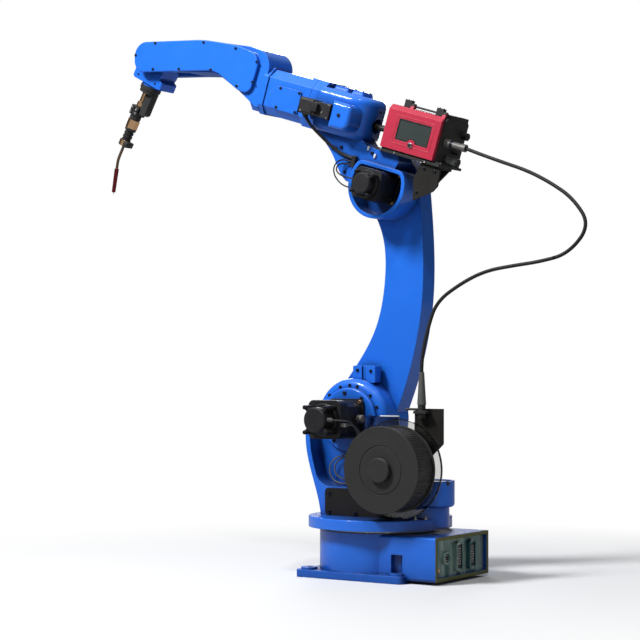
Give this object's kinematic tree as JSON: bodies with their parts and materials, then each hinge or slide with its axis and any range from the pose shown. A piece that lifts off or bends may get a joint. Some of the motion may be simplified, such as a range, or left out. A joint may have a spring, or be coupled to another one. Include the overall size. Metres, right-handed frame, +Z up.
{
  "type": "industrial robot arm",
  "caption": "Floor-mounted six-axis arc-welding robot arm with hollow wrist, swan-neck torch, wire feeder on the elbow and wire reel on the turret",
  "frame": {"origin": "centre of the underside of the base foot, on the slewing axis", "axes": "+X the way the arm reaches, +Y the arm's left, +Z up along the slewing axis"},
  "size_m": [2.0094, 0.514, 1.9117],
  "materials": {
    "blue_paint": "satin",
    "black_motor": "matte",
    "black_steel": "satin",
    "red_paint": "satin",
    "dark_window": "gloss",
    "grey_plastic": "matte",
    "panel_grey": "satin",
    "clear_plastic": "gloss",
    "wire_copper": "satin",
    "brass": "polished",
    "red_copper": "satin",
    "steel": "brushed",
    "black_hose": "matte"
  },
  "bodies": {
    "base": {"base_casting": "blue_paint", "connector_panel": "panel_grey", "base_connectors": "panel_grey", "bearing_ring": "steel"},
    "turret": {"turret_casting": "blue_paint", "slew_motor_cup": "blue_paint", "slew_motor_cap": "grey_plastic", "slew_cover_plate": "black_steel", "shoulder_motor": "black_motor", "shoulder_motor_cap": "black_motor", "shoulder_stop": "blue_paint", "reel_bracket": "black_steel", "reel_axle": "black_steel", "reel_guard": "clear_plastic", "conduit_gland": "black_hose", "conduit_lower": "black_hose", "shoulder_cable_ends": "grey_plastic", "shoulder_encoder_lead": "grey_plastic", "shoulder_power_lead": "grey_plastic"},
    "reel": {"wire_reel": "black_steel", "reel_wire": "wire_copper"},
    "lower_arm": {"arm_casting": "blue_paint", "arm_foot_cover": "blue_paint", "arm_head_cover": "blue_paint"},
    "elbow": {"elbow_casting": "blue_paint", "elbow_motor": "black_motor", "elbow_motor_cap": "black_motor", "roll_gear_housing": "blue_paint", "roll_motor": "black_motor", "elbow_pads": "blue_paint", "feeder_mount_plate": "black_steel", "feeder_bracket": "black_steel", "feeder_body": "black_steel", "feeder_hinge": "black_steel", "feeder_inlet": "grey_plastic", "feeder_fittings": "black_steel", "torch_cable": "grey_plastic", "conduit_upper": "black_hose", "elbow_cable_ends": "black_hose", "roll_motor_cable": "black_hose", "elbow_power_lead": "black_hose", "elbow_encoder_lead": "black_hose"},
    "lid": {"feeder_lid": "red_paint", "feeder_window": "dark_window", "feeder_lock": "steel"},
    "forearm": {"forearm_casting": "blue_paint", "forearm_cover_near": "blue_paint", "forearm_cover_far": "blue_paint", "forearm_plate_near": "blue_paint", "forearm_plate_far": "blue_paint"},
    "wrist": {"wrist_housing": "blue_paint"},
    "tool": {"tool_flange": "black_steel", "torch_bracket": "black_steel", "torch_clamp": "black_steel", "torch_tail": "brass", "torch_nuts": "brass", "torch_barrel": "black_steel", "torch_neck": "steel", "torch_nozzle": "red_copper"}
  },
  "joints": [
    {"name": "slew", "type": "hinge", "parent": "base", "child": "turret", "pos_m": [0, 0, 0], "axis": [0, 0, 1], "range_deg": [-165, 165]},
    {"name": "shoulder", "type": "hinge", "parent": "turret", "child": "lower_arm", "pos_m": [0.1, 0, 0.53], "axis": [0, 1, 0], "range_deg": [-60, 58], "deforming": ["conduit_upper", "conduit_lower"]},
    {"name": "elbow", "type": "hinge", "parent": "lower_arm", "child": "elbow", "pos_m": [-0.01998, 0, 1.32803], "axis": [0, -1, 0], "range_deg": [-75, 65], "deforming": ["conduit_upper", "conduit_lower"]},
    {"name": "forearm_roll", "type": "hinge", "parent": "elbow", "child": "forearm", "pos_m": [-0.08591, 0, 1.52503], "axis": [0.9542, 0, 0.299], "range_deg": [-165, 165]},
    {"name": "wrist_bend", "type": "hinge", "parent": "forearm", "child": "wrist", "pos_m": [0.95231, 0, 1.85039], "axis": [0, -1, 0], "range_deg": [-40, 190]},
    {"name": "tool_roll", "type": "hinge", "parent": "wrist", "child": "tool", "pos_m": [1.00943, 0, 1.75971], "axis": [0.4848, 0, -0.8746], "range_deg": [-200, 200]},
    {"name": "reel_spin", "type": "hinge", "parent": "turret", "child": "reel", "pos_m": [-0.157, 0.196, 0.374], "axis": [0, 1, 0], "continuous": true},
    {"name": "feeder_lid_hinge", "type": "hinge", "parent": "elbow", "child": "lid", "pos_m": [-0.22655, 0.055, 1.56584], "axis": [0.9542, 0, 0.299], "range_deg": [0, 95]}
  ]
}
